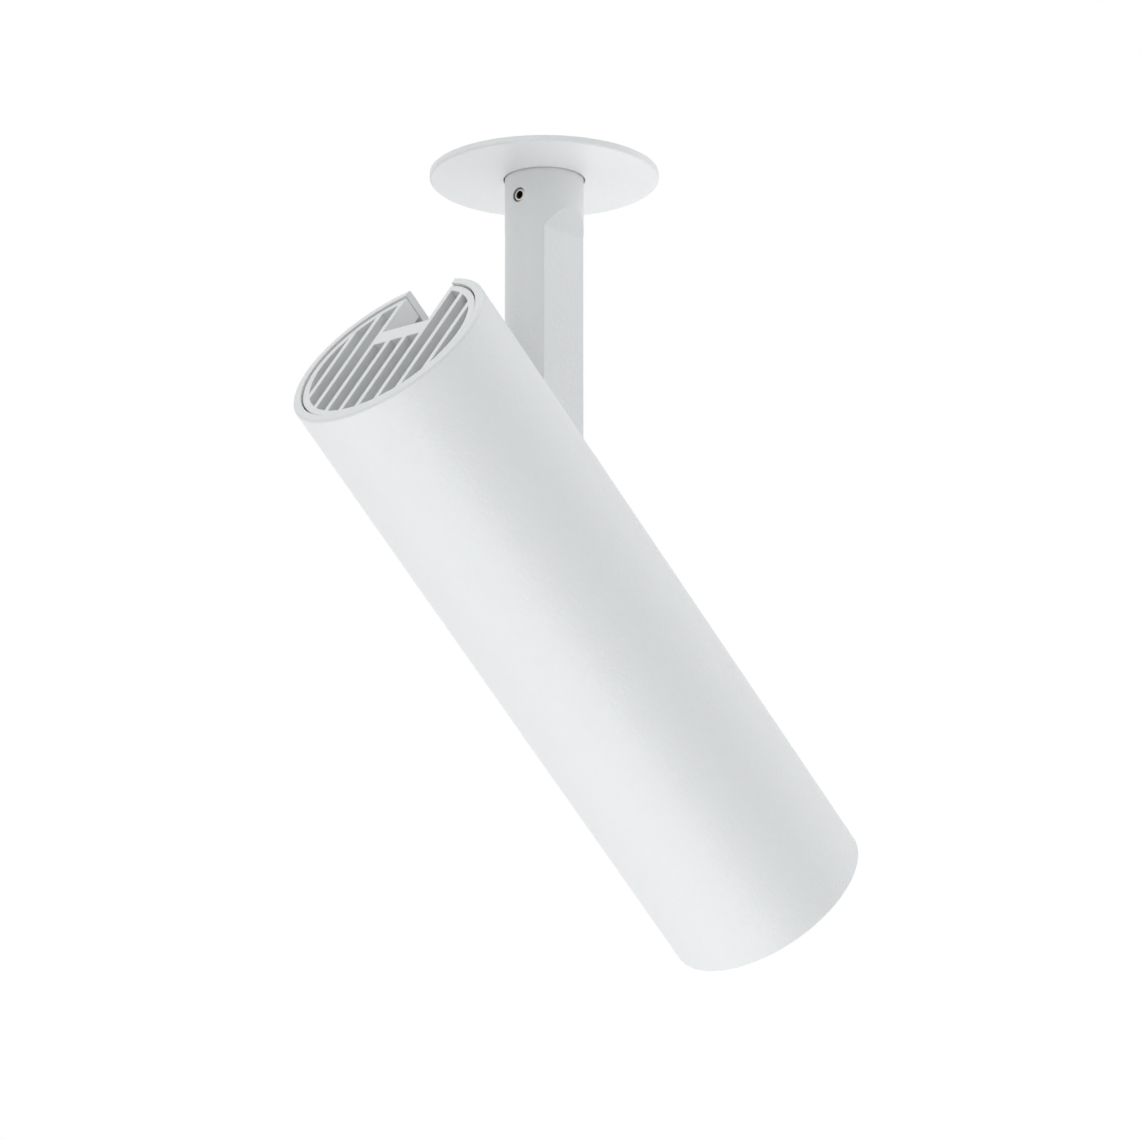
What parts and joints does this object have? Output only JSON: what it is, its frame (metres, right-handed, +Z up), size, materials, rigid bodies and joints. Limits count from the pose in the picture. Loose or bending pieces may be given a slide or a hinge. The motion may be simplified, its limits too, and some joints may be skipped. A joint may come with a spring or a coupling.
{
  "type": "recessed spotlight",
  "caption": "White tubular ceiling spotlight on a flatted swivel stem under a round ceiling disc; its slotted tube tilts past the stem and has a barred vent at the rear.",
  "frame": {"origin": "on the ceiling plane, at the middle of the disc's back, on the swivel axis", "axes": "+Z up out of the ceiling face along the swivel axis; the lamp tilts in the XZ plane and shines towards +X and -Z; the tilt axis runs along Y"},
  "size_m": [0.1961, 0.064, 0.2165],
  "materials": {
    "white_paint": "matt white powder coat with a fine grain",
    "white_plastic": "moulded, matt white",
    "zinc": "turned, bare",
    "nickel": "nickel plated",
    "steel": "bright zinc plated",
    "bearing_plastic": "self-lubricating bearing plastic",
    "bronze": "sintered bearing bronze",
    "raw_aluminium": "milled, clear anodised",
    "grey_silicone": "soft thermal pad",
    "board_ceramic": "white ceramic carrier",
    "phosphor": "yellow phosphor under clear resin",
    "holder_plastic": "moulded, heat resistant",
    "black_plastic": "moulded, matt black",
    "bright_reflector": "bright spun aluminium",
    "clear_glass": "clear toughened glass",
    "black_rubber": "silicone seal",
    "black_paint": "matt black"
  },
  "bodies": {
    "ceiling_base": {"ceiling_disc": "white_paint", "swivel_hub": "zinc", "disc_magnets": "nickel"},
    "swivel_stem": {"stem": "white_paint", "pan_grub_screw": "steel", "pan_washer": "bearing_plastic", "eye_bushes": "bronze"},
    "lamp": {"lamp_tube": "white_paint", "rear_grille": "white_plastic", "heat_sink": "raw_aluminium", "tilt_pin": "steel", "friction_washers": "bearing_plastic", "disc_springs": "steel", "thermal_pad": "grey_silicone", "led_board": "board_ceramic", "led_chip": "phosphor", "led_holder": "holder_plastic", "holder_screws": "steel", "optic_carrier": "black_plastic", "carrier_screws": "steel", "reflector": "bright_reflector", "front_glass": "clear_glass", "glass_gasket": "black_rubber", "front_baffle": "black_paint"}
  },
  "joints": [
    {"name": "swivel", "type": "hinge", "parent": "ceiling_base", "child": "swivel_stem", "pos_m": [0, 0, 0], "axis": [0, 0, 1], "range_deg": [-160, 160]},
    {"name": "tilt", "type": "hinge", "parent": "swivel_stem", "child": "lamp", "pos_m": [0, 0, -0.0873], "axis": [0, -1, 0], "range_deg": [-52, 38]}
  ]
}
